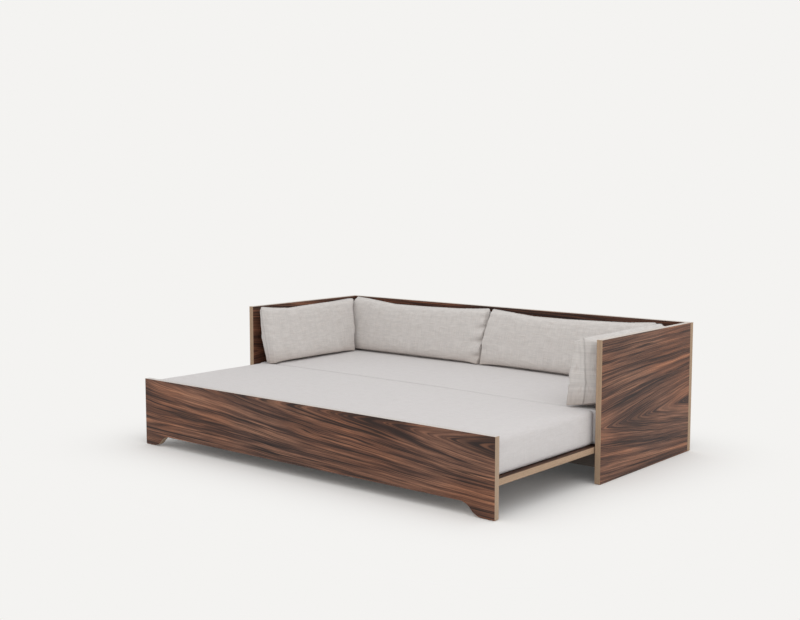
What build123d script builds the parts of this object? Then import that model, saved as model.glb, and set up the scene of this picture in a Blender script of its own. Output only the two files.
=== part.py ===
from build123d import *
import math
import os

# A sofa bed: three fixed plywood panels, a front panel that pulls out on interleaved slats,
# two mattresses and four loose cushions. It is drawn with the front pulled out.
# Millimetres. X runs along the length, Y from front to back, Z up from the floor.
# The origin is on the floor, under the centre of the pulled-out bed.

# Panels
overall_length = 2080
closed_depth = 817
side_height = 598
front_height = 314
panel_thickness = 27
panel_edge_round = 1.2
slide_travel = 700
front_end_gap = 5

# Feet and arch cut into the front panel
foot_flat_length = 56
arch_height = 52
ogee_angle = 50

# Slats: the moving ones are fixed to the front panel and slide between the fixed ones
deck_height = 155
slat_thickness = 27
moving_slat_count = 9
moving_slat_width = 110
slat_side_gap = 4
slat_rear_gap = 3
slat_edge_round = 1.5

# Rail and battens under the slats
rail_thickness = 18
rail_height = 68
rail_front_gap = 2
glide_strip_thickness = 1.5
cleat_thickness = 18
cleat_height = 40
cleat_end_inset = 40
ledger_thickness = 18
ledger_height = 70
corner_block_side = 40
batten_edge_round = 1

# Blocks under two moving slats stop the bed at full reach; the count is of the slats that
# lie outside each of them
slats_outside_stop_count = 1
stop_block_length = 60
stop_block_thickness = 18
stop_block_height = 30
stop_gap = 0.5
notch_gap = 6

# Feet under the rail and pads under everything that stands on the floor
rail_foot_length = 60
rail_foot_depth = 44
rail_foot_spacing = 680
floor_pad_thickness = 2
floor_pad_radius = 10
rail_foot_pad_radius = 16
side_pad_inset = 60
back_pad_spacing = 1200

# Rubber buffers that the closed front meets
buffer_radius = 8
buffer_spacing = 1200
buffer_gap = 0.3

# Countersunk wood screws
screw_head_radius = 4.2
screw_head_height = 2.8
screw_shank_radius = 2
screw_tip_length = 5
screw_sink = 0.4
screw_clearance = 0.05
slat_screw_length = 44
block_screw_length = 40
stop_screw_spacing = 30
cleat_screw_length = 36
cleat_screw_count = 4
cleat_screw_drop = 28
ledger_screw_length = 38
ledger_screw_count = 6
ledger_screw_rise = 22
side_screw_length = 54
side_screw_spacing = 34

# Connector bolts, cross nuts and dowels that hold the back panel to the side panels
bolt_head_radius = 8.5
bolt_head_height = 2.4
bolt_shank_radius = 3
bolt_length = 62
bolt_count = 3
lowest_bolt_height = 80
highest_bolt_drop = 88
cross_nut_radius = 5
cross_nut_length = 20
cross_nut_setback = 26
bolt_clearance = 0.15
dowel_radius = 4
dowel_length = 36
dowel_clearance = 0.1
dowel_end_gap = 0.5
foot_dowel_spacing = 30

# Mattresses: a quilted cover over a foam core
front_mattress_side_gap = 26
rear_mattress_side_gap = 7
mattress_height = 155
mattress_corner_radius = 32
mattress_top_radius = 22
mattress_bottom_radius = 20
mattress_cover_thickness = 5
mattress_front_gap = 2
mattress_back_gap = 0.5
mattress_seam_gap = 0.5
core_gap = 0.3

# Cushions: a padded cover over a filled insert
back_cushion_depth = 144
back_cushion_rise = 292
back_cushion_left_gap = 28
back_cushion_middle_gap = 15
back_cushion_right_gap = 133
arm_cushion_depth = 152
arm_cushion_rise = 290
arm_cushion_front_gap = 7
arm_cushion_rear_gap = 6.5
cushion_cover_thickness = 3
cushion_wall_gap = 0.5
cushion_flat_cut = 0.5

# Cross-section of a cushion as shares of its depth and rise, from the back of the foot round
# the belly and the face to the crest; every second point is the middle of an arc
foot_back_share = (0, 0)
foot_front_share = (0.86, 0)
belly_mid_share = (0.965, 0.055)
belly_top_share = (1, 0.16)
face_mid_share = (0.825, 0.5)
face_top_share = (0.63, 0.82)
shoulder_mid_share = (0.5, 0.945)
shoulder_top_share = (0.31, 0.995)
crest_mid_share = (0.13, 0.985)
back_top_share = (0, 0.93)
seam_depth_share = 0.38

# Sections from one end to the middle of a cushion: place along the length, thickness and
# height, all as shares
cushion_section_shares = (
    (0, 0.32, 0.95),
    (0.012, 0.6, 0.985),
    (0.04, 0.84, 1),
    (0.11, 0.955, 0.985),
    (0.28, 0.995, 0.955),
    (0.5, 1, 0.94),
)

# One overrun lets cuts pass their faces
cut_overrun = 5

# Places worked out from the sizes above
half_length = overall_length / 2
inner_half = half_length - panel_thickness
total_depth = closed_depth + slide_travel
front_face_y = -total_depth / 2
front_rear_y = front_face_y + panel_thickness
side_front_y = front_face_y + slide_travel
back_face_y = total_depth / 2
back_inner_y = back_face_y - panel_thickness
front_panel_length = 2 * (inner_half - front_end_gap)
slat_underside = deck_height - slat_thickness
rail_front_y = front_rear_y + slide_travel + cleat_thickness + rail_front_gap
rail_rear_y = rail_front_y + rail_thickness
rail_middle_y = (rail_front_y + rail_rear_y) / 2
rail_top = slat_underside - glide_strip_thickness
rail_bottom = rail_top - rail_height
ledger_front_y = back_inner_y - ledger_thickness
ledger_middle_y = (ledger_front_y + back_inner_y) / 2
cleat_rear_y = front_rear_y + cleat_thickness
cleat_middle_y = (front_rear_y + cleat_rear_y) / 2
slat_pitch = (front_panel_length - moving_slat_width) / (moving_slat_count - 1)
fixed_slat_width = slat_pitch - moving_slat_width - 2 * slat_side_gap
side_middle_x = half_length - panel_thickness / 2
bolt_spacing = (side_height - highest_bolt_drop - lowest_bolt_height) / (bolt_count - 1)
seat_height = deck_height + mattress_height
back_cushion_gaps = back_cushion_left_gap + back_cushion_middle_gap + back_cushion_right_gap
back_cushion_length = (2 * inner_half - back_cushion_gaps) / 2
back_cushion_y = back_inner_y - cushion_wall_gap
arm_cushion_front_y = side_front_y + arm_cushion_front_gap
arm_cushion_rear_y = back_cushion_y - back_cushion_depth - arm_cushion_rear_gap
arm_cushion_length = arm_cushion_rear_y - arm_cushion_front_y

os.makedirs("parts", exist_ok=True)


def save(name, shape):
    export_step(shape, f"parts/{name}.step")


# A box between two corners, with all its edges eased by the given radius.
def board(low, high, edge_radius):
    size = [top - bottom for bottom, top in zip(low, high)]
    centre = [(top + bottom) / 2 for bottom, top in zip(low, high)]
    block = Pos(*centre) * Box(*size)
    return fillet(block.edges(), edge_radius)


# Evenly spaced places, centred on zero.
def spread(count, spacing):
    return [(index - (count - 1) / 2) * spacing for index in range(count)]


# A countersunk screw that points down from the origin, fatter all round by extra.
def screw(length, extra=0):
    head = screw_head_radius + extra
    shank = screw_shank_radius + extra
    outline = Polyline(
        (0, 0, 0),
        (head, 0, 0),
        (shank, 0, -screw_head_height),
        (shank, 0, screw_tip_length - length),
        (0, 0, -length - extra),
        (0, 0, 0),
    )
    return revolve(make_face(outline), Axis.Z)


# The hole that the screw leaves, open above its head.
def screw_hole(length):
    above = screw_sink + cut_overrun
    mouth = Pos(0, 0, above / 2) * Cylinder(screw_head_radius + screw_clearance, above)
    return screw(length, screw_clearance) + mouth


def moving_slat_centres():
    return spread(moving_slat_count, slat_pitch)


def fixed_slat_centres():
    return spread(moving_slat_count - 1, slat_pitch)


def stopped_centres():
    centres = moving_slat_centres()
    return [centres[slats_outside_stop_count], centres[-1 - slats_outside_stop_count]]


# Places of the screws: each is turned and moved from the upright screw at the origin.
def fixed_slat_screw_places():
    rows = (rail_middle_y, ledger_middle_y)
    top = deck_height - screw_sink
    return [Pos(x, y, top) for x in fixed_slat_centres() for y in rows]


def moving_slat_screw_places():
    top = deck_height - screw_sink
    return [Pos(x, cleat_middle_y, top) for x in moving_slat_centres()]


def stop_block_screw_places():
    middle_y = rail_rear_y + stop_gap + stop_block_thickness / 2
    bottom = slat_underside - stop_block_height + screw_sink
    upside_down = Rot(180, 0, 0)
    places = []
    for x in stopped_centres():
        for offset in spread(2, stop_screw_spacing):
            places.append(Pos(x + offset, middle_y, bottom) * upside_down)
    return places


def cleat_screw_places():
    pitch = slat_pitch * 2
    height = slat_underside - cleat_screw_drop
    towards_front = Rot(-90, 0, 0)
    rear = cleat_rear_y - screw_sink
    return [Pos(x, rear, height) * towards_front for x in spread(cleat_screw_count, pitch)]


def ledger_screw_places():
    pitch = slat_pitch
    height = slat_underside - ledger_height + ledger_screw_rise
    towards_back = Rot(90, 0, 0)
    front = ledger_front_y + screw_sink
    return [Pos(x, front, height) * towards_back for x in spread(ledger_screw_count, pitch)]


def corner_block_screw_places():
    block_middle_z = (rail_bottom + rail_top) / 2
    block_middle_y = rail_rear_y + corner_block_side / 2
    inner_face = inner_half - corner_block_side + screw_sink
    places = []
    for side in (-1, 1):
        outwards = Rot(0, -90 * side, 0)
        for offset in spread(2, side_screw_spacing):
            height = block_middle_z + offset
            places.append(Pos(side * inner_face, block_middle_y, height) * outwards)
    return places


def rail_end_screw_places():
    x = inner_half - corner_block_side / 2
    height = (rail_bottom + rail_top) / 2
    front = rail_front_y + screw_sink
    return [Pos(side * x, front, height) * Rot(90, 0, 0) for side in (-1, 1)]


def bolt_heights():
    return [lowest_bolt_height + index * bolt_spacing for index in range(bolt_count)]


def bolt_spots():
    return [(side * side_middle_x, height) for side in (-1, 1) for height in bolt_heights()]


def back_dowel_spots():
    heights = [height + bolt_spacing / 2 for height in bolt_heights()[:-1]]
    return [(side * side_middle_x, height) for side in (-1, 1) for height in heights]


# A connector bolt: its head lies in the back face and its shank points to the front.
def connector_bolt(extra, above):
    head_height = bolt_head_height + above
    head = Cylinder(bolt_head_radius + extra, head_height)
    head = Pos(0, 0, head_height / 2 - bolt_head_height) * head
    shank_length = bolt_length - bolt_head_height + extra
    shank = Cylinder(bolt_shank_radius + extra, shank_length)
    shank = Pos(0, 0, -bolt_head_height - shank_length / 2) * shank
    return head + shank


def bolts():
    bolt = Rot(-90, 0, 0) * connector_bolt(0, 0)
    return [Pos(x, back_face_y, z) * bolt for x, z in bolt_spots()]


def bolt_holes():
    hole = Rot(-90, 0, 0) * connector_bolt(bolt_clearance, cut_overrun)
    return [Pos(x, back_face_y, z) * hole for x, z in bolt_spots()]


# Cross nuts lie across the side panels and end flush with their inner faces.
def cross_nut_at(x, z, radius, length):
    side = 1 if x > 0 else -1
    middle = side * (inner_half + cross_nut_length / 2)
    nut = Rot(0, 90, 0) * Cylinder(radius, length)
    return Pos(middle, back_inner_y - cross_nut_setback, z) * nut


def cross_nuts():
    threads = bolt_holes()
    nuts = []
    for x, z in bolt_spots():
        nuts.append(cross_nut_at(x, z, cross_nut_radius, cross_nut_length) - threads)
    return nuts


def cross_nut_holes():
    radius = cross_nut_radius + bolt_clearance
    return [cross_nut_at(x, z, radius, cross_nut_length + bolt_clearance) for x, z in bolt_spots()]


def dowel(extra, end_gap):
    return Cylinder(dowel_radius + extra, dowel_length + 2 * end_gap)


def back_dowels(extra, end_gap):
    lying = Rot(90, 0, 0) * dowel(extra, end_gap)
    return [Pos(x, back_inner_y, z) * lying for x, z in back_dowel_spots()]


def foot_dowels(extra, end_gap):
    standing = dowel(extra, end_gap)
    places = []
    for foot_x in spread(2, rail_foot_spacing):
        for offset in spread(2, foot_dowel_spacing):
            places.append(Pos(foot_x + offset, rail_middle_y, rail_bottom) * standing)
    return places


def screws_at(places, length):
    return [place * screw(length) for place in places]


def holes_at(places, length):
    return [place * screw_hole(length) for place in places]


def side_panel(side):
    inner = side * inner_half
    outer = side * half_length
    low = (min(inner, outer), side_front_y, floor_pad_thickness)
    high = (max(inner, outer), back_inner_y, side_height)
    cuts = bolt_holes() + cross_nut_holes() + back_dowels(dowel_clearance, dowel_end_gap)
    cuts += holes_at(corner_block_screw_places(), side_screw_length)
    return board(low, high, panel_edge_round) - cuts


def back_panel():
    low = (-half_length, back_inner_y, floor_pad_thickness)
    high = (half_length, back_face_y, side_height)
    cuts = bolt_holes() + back_dowels(dowel_clearance, dowel_end_gap)
    cuts += holes_at(ledger_screw_places(), ledger_screw_length)
    return board(low, high, panel_edge_round) - cuts


# The front panel stands on two feet; an ogee leads from each foot up to the arch.
def front_panel():
    half = front_panel_length / 2
    foot_end = half - foot_flat_length
    foot_level = floor_pad_thickness
    ogee_radius = (arch_height - foot_level) / 2 / (1 - math.cos(math.radians(ogee_angle)))
    left_foot = Line((-half, foot_level), (-foot_end, foot_level))
    left_rise = JernArc(left_foot @ 1, left_foot % 1, ogee_radius, ogee_angle)
    left_crown = JernArc(left_rise @ 1, left_rise % 1, ogee_radius, -ogee_angle)
    right_foot = Line((half, foot_level), (foot_end, foot_level))
    right_rise = JernArc(right_foot @ 1, right_foot % 1, ogee_radius, -ogee_angle)
    right_crown = JernArc(right_rise @ 1, right_rise % 1, ogee_radius, ogee_angle)
    arch = Line(left_crown @ 1, right_crown @ 1)
    sides = Polyline((-half, foot_level), (-half, front_height), (half, front_height), (half, foot_level))
    outline = Curve() + [left_foot, left_rise, left_crown, arch, right_crown, right_rise, right_foot, sides]
    plate = extrude(Plane.XZ * make_face(outline), amount=-panel_thickness)
    plate = fillet(plate.edges(), panel_edge_round)
    return Pos(0, front_face_y, 0) * plate - holes_at(cleat_screw_places(), cleat_screw_length)


def front_cleat():
    half = front_panel_length / 2 - cleat_end_inset
    low = (-half, front_rear_y, slat_underside - cleat_height)
    high = (half, cleat_rear_y, slat_underside)
    cuts = holes_at(cleat_screw_places(), cleat_screw_length)
    cuts += holes_at(moving_slat_screw_places(), slat_screw_length)
    return board(low, high, batten_edge_round) - cuts


def moving_slat(x):
    low = (x - moving_slat_width / 2, front_rear_y, slat_underside)
    rear = back_inner_y - slat_rear_gap - slide_travel
    high = (x + moving_slat_width / 2, rear, deck_height)
    cuts = holes_at(moving_slat_screw_places(), slat_screw_length)
    cuts += holes_at(stop_block_screw_places(), block_screw_length)
    return board(low, high, slat_edge_round) - cuts


def fixed_slat(x):
    low = (x - fixed_slat_width / 2, rail_front_y, slat_underside)
    high = (x + fixed_slat_width / 2, back_inner_y - slat_rear_gap, deck_height)
    return board(low, high, slat_edge_round) - holes_at(fixed_slat_screw_places(), slat_screw_length)


def stop_block(x):
    front = rail_rear_y + stop_gap
    low = (x - stop_block_length / 2, front, slat_underside - stop_block_height)
    high = (x + stop_block_length / 2, front + stop_block_thickness, slat_underside)
    return board(low, high, batten_edge_round) - holes_at(stop_block_screw_places(), block_screw_length)


def front_rail():
    low = (-inner_half, rail_front_y, rail_bottom)
    high = (inner_half, rail_rear_y, rail_top)
    cuts = holes_at(fixed_slat_screw_places(), slat_screw_length)
    cuts += holes_at(rail_end_screw_places(), block_screw_length)
    cuts += foot_dowels(dowel_clearance, dowel_end_gap)
    return board(low, high, batten_edge_round) - cuts


# A slippery strip on the rail, on which the moving slats slide.
def glide_strip():
    size = (2 * inner_half, rail_thickness, glide_strip_thickness)
    centre = Pos(0, rail_middle_y, slat_underside - glide_strip_thickness / 2)
    return centre * Box(*size) - holes_at(fixed_slat_screw_places(), slat_screw_length)


# The ledger carries the rear ends of all slats, and is notched where the stop blocks arrive.
def rear_ledger():
    low = (-inner_half, ledger_front_y, slat_underside - ledger_height)
    high = (inner_half, back_inner_y, slat_underside)
    cuts = holes_at(fixed_slat_screw_places(), slat_screw_length)
    cuts += holes_at(ledger_screw_places(), ledger_screw_length)
    notch_depth = stop_block_height + notch_gap
    notch_size = (stop_block_length + 2 * notch_gap, 2 * ledger_thickness, 2 * notch_depth)
    cuts += [Pos(x, ledger_middle_y, slat_underside) * Box(*notch_size) for x in stopped_centres()]
    return board(low, high, batten_edge_round) - cuts


def corner_block(side):
    inner = side * (inner_half - corner_block_side)
    outer = side * inner_half
    low = (min(inner, outer), rail_rear_y, rail_bottom)
    high = (max(inner, outer), rail_rear_y + corner_block_side, rail_top)
    cuts = holes_at(corner_block_screw_places(), side_screw_length)
    cuts += holes_at(rail_end_screw_places(), block_screw_length)
    return board(low, high, batten_edge_round) - cuts


def rail_foot(x):
    half_foot = rail_foot_length / 2
    low = (x - half_foot, rail_middle_y - rail_foot_depth / 2, floor_pad_thickness)
    high = (x + half_foot, rail_middle_y + rail_foot_depth / 2, rail_bottom)
    return board(low, high, batten_edge_round) - foot_dowels(dowel_clearance, dowel_end_gap)


def closing_buffers():
    thickness = rail_front_gap - buffer_gap
    height = slat_underside - cleat_height / 2
    disc = Rot(90, 0, 0) * Cylinder(buffer_radius, thickness)
    middle_y = rail_front_y - thickness / 2
    return [Pos(x, middle_y, height) * disc for x in spread(2, buffer_spacing)]


def floor_pad(x, y, radius):
    return Pos(x, y, floor_pad_thickness / 2) * Cylinder(radius, floor_pad_thickness)


def base_floor_pads():
    rows = (side_front_y + side_pad_inset, back_inner_y - side_pad_inset)
    pads = [floor_pad(side * side_middle_x, y, floor_pad_radius) for side in (-1, 1) for y in rows]
    back_y = back_face_y - panel_thickness / 2
    pads += [floor_pad(x, back_y, floor_pad_radius) for x in spread(2, back_pad_spacing)]
    pads += [floor_pad(x, rail_middle_y, rail_foot_pad_radius) for x in spread(2, rail_foot_spacing)]
    return pads


def front_floor_pads():
    y = front_face_y + panel_thickness / 2
    x = front_panel_length / 2 - foot_flat_length / 2
    return [floor_pad(side * x, y, floor_pad_radius) for side in (-1, 1)]


# A mattress shape drawn in by inset on every side.
def mattress_shape(side_gap, front, rear, inset):
    length = 2 * (inner_half - side_gap)
    size = (length - 2 * inset, rear - front - 2 * inset, mattress_height - 2 * inset)
    block = Box(*size)
    block = fillet(block.edges().filter_by(Axis.Z), mattress_corner_radius - inset)
    block = fillet(block.faces().sort_by(Axis.Z)[-1].edges(), mattress_top_radius - inset)
    block = fillet(block.faces().sort_by(Axis.Z)[0].edges(), mattress_bottom_radius - inset)
    return Pos(0, (front + rear) / 2, deck_height + mattress_height / 2) * block


def save_mattress(name, side_gap, front, rear):
    cavity = mattress_shape(side_gap, front, rear, mattress_cover_thickness)
    save(f"{name}_cover", mattress_shape(side_gap, front, rear, 0) - cavity)
    core_inset = mattress_cover_thickness + core_gap
    save(f"{name}_core", mattress_shape(side_gap, front, rear, core_inset))


# One cross-section of a cushion, across its length. Its foot lies just below the flat face
# that is cut later.
def cushion_section(x, depth, rise, thick, tall):
    seam = seam_depth_share * depth

    def point(share):
        out = seam + (share[0] * depth - seam) * thick
        return (x, -out, share[1] * tall * rise - cushion_flat_cut)

    foot = Line(point(foot_back_share), point(foot_front_share))
    belly = ThreePointArc(point(foot_front_share), point(belly_mid_share), point(belly_top_share))
    face = ThreePointArc(point(belly_top_share), point(face_mid_share), point(face_top_share))
    shoulder = ThreePointArc(point(face_top_share), point(shoulder_mid_share), point(shoulder_top_share))
    crest = ThreePointArc(point(shoulder_top_share), point(crest_mid_share), point(back_top_share))
    back = Line(point(back_top_share), point(foot_back_share))
    return make_face([foot, belly, face, shoulder, crest, back])


# A cushion that stands at the origin and leans on the plane behind it.
def cushion_shape(length, depth, rise):
    mirrored_shares = [(1 - row[0],) + row[1:] for row in reversed(cushion_section_shares[:-1])]
    rows = list(cushion_section_shares) + mirrored_shares
    sections = []
    for place, thick, tall in rows:
        x = place * length - length / 2
        sections.append(cushion_section(x, depth, rise, thick, tall))
    below = Pos(0, 0, -rise) * Box(2 * length, 4 * depth, 2 * rise)
    return loft(sections, ruled=True) - below


def save_cushion(name, length, depth, rise, place):
    wall = cushion_cover_thickness
    pieces = []
    for inset in (0, wall, wall + core_gap):
        shape = cushion_shape(length - 2 * inset, depth - 2 * inset, rise - 2 * inset)
        pieces.append(place * Pos(0, -inset, inset) * shape)
    outside, cavity, fill = pieces
    save(f"{name}_cover", outside - cavity)
    save(f"{name}_fill", fill)


def save_cushions():
    left_x = -inner_half + back_cushion_left_gap + back_cushion_length / 2
    right_x = inner_half - back_cushion_right_gap - back_cushion_length / 2
    for name, x in (("back_cushion_left", left_x), ("back_cushion_right", right_x)):
        place = Pos(x, back_cushion_y, seat_height)
        save_cushion(name, back_cushion_length, back_cushion_depth, back_cushion_rise, place)
    middle_y = (arm_cushion_front_y + arm_cushion_rear_y) / 2
    for name, side in (("arm_cushion_left", -1), ("arm_cushion_right", 1)):
        x = side * (inner_half - cushion_wall_gap)
        place = Pos(x, middle_y, seat_height) * Rot(0, 0, -90 * side)
        save_cushion(name, arm_cushion_length, arm_cushion_depth, arm_cushion_rise, place)


def save_frame():
    save("side_panel_left", side_panel(-1))
    save("side_panel_right", side_panel(1))
    save("back_panel", back_panel())
    save("front_rail", front_rail())
    save("glide_strip", glide_strip())
    save("rear_ledger", rear_ledger())
    save("corner_block_left", corner_block(-1))
    save("corner_block_right", corner_block(1))
    for name, x in zip(("rail_foot_left", "rail_foot_right"), spread(2, rail_foot_spacing)):
        save(name, rail_foot(x))
    for number, x in enumerate(fixed_slat_centres(), 1):
        save(f"fixed_slat_{number}", fixed_slat(x))
    save("closing_buffers", Compound(closing_buffers()))
    save("base_floor_pads", Compound(base_floor_pads()))


def save_front():
    save("front_panel", front_panel())
    save("front_cleat", front_cleat())
    for number, x in enumerate(moving_slat_centres(), 1):
        save(f"moving_slat_{number}", moving_slat(x))
    for name, x in zip(("stop_block_left", "stop_block_right"), stopped_centres()):
        save(name, stop_block(x))
    save("front_floor_pads", Compound(front_floor_pads()))


def save_fasteners():
    save("connector_bolts", Compound(bolts()))
    save("cross_nuts", Compound(cross_nuts()))
    save("back_dowels", Compound(back_dowels(0, 0)))
    save("foot_dowels", Compound(foot_dowels(0, 0)))
    save("fixed_slat_screws", Compound(screws_at(fixed_slat_screw_places(), slat_screw_length)))
    save("moving_slat_screws", Compound(screws_at(moving_slat_screw_places(), slat_screw_length)))
    save("stop_block_screws", Compound(screws_at(stop_block_screw_places(), block_screw_length)))
    save("cleat_screws", Compound(screws_at(cleat_screw_places(), cleat_screw_length)))
    save("ledger_screws", Compound(screws_at(ledger_screw_places(), ledger_screw_length)))
    corner_screws = screws_at(corner_block_screw_places(), side_screw_length)
    corner_screws += screws_at(rail_end_screw_places(), block_screw_length)
    save("corner_block_screws", Compound(corner_screws))


save_frame()
save_front()
save_fasteners()
front_mattress_start = front_rear_y + mattress_front_gap
front_mattress_end = side_front_y + panel_thickness
rear_mattress_start = front_mattress_end + mattress_seam_gap
rear_mattress_end = back_inner_y - mattress_back_gap
save_mattress("front_mattress", front_mattress_side_gap, front_mattress_start, front_mattress_end)
save_mattress("rear_mattress", rear_mattress_side_gap, rear_mattress_start, rear_mattress_end)
save_cushions()
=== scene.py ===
import math

import bpy
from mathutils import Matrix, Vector, noise


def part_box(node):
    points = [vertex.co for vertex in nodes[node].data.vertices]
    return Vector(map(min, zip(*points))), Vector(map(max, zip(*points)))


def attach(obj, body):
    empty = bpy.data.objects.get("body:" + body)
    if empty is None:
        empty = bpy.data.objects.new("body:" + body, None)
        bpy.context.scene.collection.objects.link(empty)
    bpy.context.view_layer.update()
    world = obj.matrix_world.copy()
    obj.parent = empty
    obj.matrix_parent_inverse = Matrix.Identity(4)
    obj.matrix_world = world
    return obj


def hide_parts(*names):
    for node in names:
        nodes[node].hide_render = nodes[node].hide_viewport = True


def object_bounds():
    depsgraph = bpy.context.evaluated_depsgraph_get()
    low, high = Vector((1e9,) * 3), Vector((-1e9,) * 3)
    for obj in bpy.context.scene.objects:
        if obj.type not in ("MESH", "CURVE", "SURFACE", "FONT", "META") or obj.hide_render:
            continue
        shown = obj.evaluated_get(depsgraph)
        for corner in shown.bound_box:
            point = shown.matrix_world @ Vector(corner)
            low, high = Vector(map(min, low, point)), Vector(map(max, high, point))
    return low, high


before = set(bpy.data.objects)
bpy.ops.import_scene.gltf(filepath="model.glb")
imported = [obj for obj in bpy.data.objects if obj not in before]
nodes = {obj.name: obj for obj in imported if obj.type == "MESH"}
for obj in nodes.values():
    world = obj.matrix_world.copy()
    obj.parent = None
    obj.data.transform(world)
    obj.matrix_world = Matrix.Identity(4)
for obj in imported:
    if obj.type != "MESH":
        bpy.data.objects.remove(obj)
cadLow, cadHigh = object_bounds()
print("frame loaded,", len(nodes), "nodes")


# An eight-bit screen colour as the linear colour that shaders take.
def screenColour(red, green, blue):
    def linear(value):
        value = value / 255
        return value / 12.92 if value <= 0.04045 else ((value + 0.055) / 1.055) ** 2.4

    return (linear(red), linear(green), linear(blue), 1)


# Node helpers: a value that is a socket is linked, anything else is set on the socket.
def plug(tree, socket, value):
    if isinstance(value, bpy.types.NodeSocket):
        tree.links.new(value, socket)
    else:
        socket.default_value = value


def addNode(tree, kind, inputs, **settings):
    node = tree.nodes.new(kind)
    for key, value in settings.items():
        setattr(node, key, value)
    for key, value in inputs.items():
        plug(tree, node.inputs[key], value)
    return node


def calc(tree, operation, first, second=0.0, third=0.0):
    inputs = {0: first, 1: second, 2: third}
    return addNode(tree, "ShaderNodeMath", inputs, operation=operation).outputs[0]


def combine(tree, x, y, z):
    return addNode(tree, "ShaderNodeCombineXYZ", {0: x, 1: y, 2: z}).outputs[0]


def separate(tree, vector):
    return addNode(tree, "ShaderNodeSeparateXYZ", {0: vector}).outputs


# Three parts of a place, each times its own scale, as one place.
def stretched(tree, parts, scales):
    return combine(tree, *[calc(tree, "MULTIPLY", part, scale) for part, scale in zip(parts, scales)])


def vectorCalc(tree, operation, first, second=(0, 0, 0)):
    inputs = {0: first, 1: second}
    return addNode(tree, "ShaderNodeVectorMath", inputs, operation=operation).outputs[0]


# Adds up values, each times its share.
def weighed(tree, *pairs):
    total = 0.0
    for value, share in pairs:
        total = calc(tree, "MULTIPLY_ADD", value, share, total)
    return total


def fuzz(tree, place, detail=2.0, roughness=0.5):
    inputs = {"Vector": place, "Scale": 1.0, "Detail": detail, "Roughness": roughness}
    return addNode(tree, "ShaderNodeTexNoise", inputs).outputs[0]


# Noise over a flat place. Its look is the scale both ways, a shift of the seed, detail, roughness.
def noiseOver(tree, look, first, second, seed=0.0):
    firstScale, secondScale, shift, detail, roughness = look
    x = calc(tree, "MULTIPLY", first, firstScale)
    y = calc(tree, "MULTIPLY", second, secondScale)
    return fuzz(tree, combine(tree, x, y, seed + shift), detail, roughness)


def spanned(tree, value, low, high, newLow=0.0, newHigh=1.0):
    inputs = {"Value": value, "From Min": low, "From Max": high, "To Min": newLow, "To Max": newHigh}
    return addNode(tree, "ShaderNodeMapRange", inputs, interpolation_type="SMOOTHSTEP").outputs[0]


def blendColour(tree, share, first, second, way="MIX"):
    inputs = {0: share, 6: first, 7: second}
    node = addNode(tree, "ShaderNodeMix", inputs, data_type="RGBA", blend_type=way)
    return node.outputs[2]


def grey(tree, value):
    return combine(tree, value, value, value)


def tinted(tree, colour, tint):
    return blendColour(tree, 1.0, colour, tint, "MULTIPLY")


def shaded(tree, colour, shade):
    return tinted(tree, colour, grey(tree, shade))


def colourRamp(tree, share, stops):
    node = addNode(tree, "ShaderNodeValToRGB", {0: share})
    elements = node.color_ramp.elements
    elements[0].position, elements[0].color = stops[0]
    elements[1].position, elements[1].color = stops[-1]
    for position, colour in stops[1:-1]:
        elements.new(position).color = colour
    return node.outputs[0]


def bumped(tree, shader, height, strength, distance):
    inputs = {"Height": height, "Strength": strength, "Distance": distance}
    bump = addNode(tree, "ShaderNodeBump", inputs)
    tree.links.new(bump.outputs[0], shader.inputs["Normal"])


def newMaterial(name, **sockets):
    material = bpy.data.materials.new(name)
    material.use_nodes = True
    tree = material.node_tree
    shader = tree.nodes["Principled BSDF"]
    for key, value in sockets.items():
        shader.inputs[key.replace("_", " ")].default_value = value
    return material, tree, shader


def objectPlace(tree):
    return addNode(tree, "ShaderNodeTexCoord", {}).outputs["Object"]


def giveMaterial(name, material):
    nodes[name].data.materials.clear()
    nodes[name].data.materials.append(material)


# The bare edge of a multiply board: layers with the grain along and across by turns and thin
# glue lines between them. Spans are a value's low and high, then what they turn into.
plyLook = {
    "layer": 0.0015,
    "skin": 0.0008,
    "long": screenColour(190, 164, 139),
    "end": screenColour(162, 135, 110),
    "glue": screenColour(118, 93, 74),
    # top: painted highlight, the pale colour of upward-facing edges lit from above.
    "top": screenColour(214, 209, 204),
    "glueSpan": (0.4, 0.5),
    "glueShare": 0.55,
    "streakScales": (30, 30, 1500),
    "speckScales": (900, 900, 900),
    "bandScales": (1, 1, 130),
    "toneShares": (0.5, 0.3, 0.3),
    "shadeSpan": (0.25, 0.55, 0.8, 1.12),
}


def plyEdge(tree, along, across, depth):
    parts = (along, across, depth)
    layer = calc(tree, "DIVIDE", depth, plyLook["layer"])
    offMiddle = calc(tree, "ABSOLUTE", calc(tree, "SUBTRACT", calc(tree, "FRACT", layer), 0.5))
    glue = spanned(tree, offMiddle, *plyLook["glueSpan"])
    byTurns = calc(tree, "FRACT", calc(tree, "MULTIPLY", layer, 0.5))
    colour = blendColour(tree, calc(tree, "GREATER_THAN", byTurns, 0.5), plyLook["long"], plyLook["end"])
    glued = calc(tree, "MULTIPLY", glue, plyLook["glueShare"])
    colour = blendColour(tree, glued, colour, plyLook["glue"])
    streak = fuzz(tree, stretched(tree, parts, plyLook["streakScales"]), 3)
    speck = fuzz(tree, stretched(tree, parts, plyLook["speckScales"]), 3)
    band = calc(tree, "SUBTRACT", fuzz(tree, stretched(tree, parts, plyLook["bandScales"]), 1), 0.5)
    tone = weighed(tree, *zip((streak, speck, band), plyLook["toneShares"]))
    return shaded(tree, colour, spanned(tree, tone, *plyLook["shadeSpan"])), glue


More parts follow.
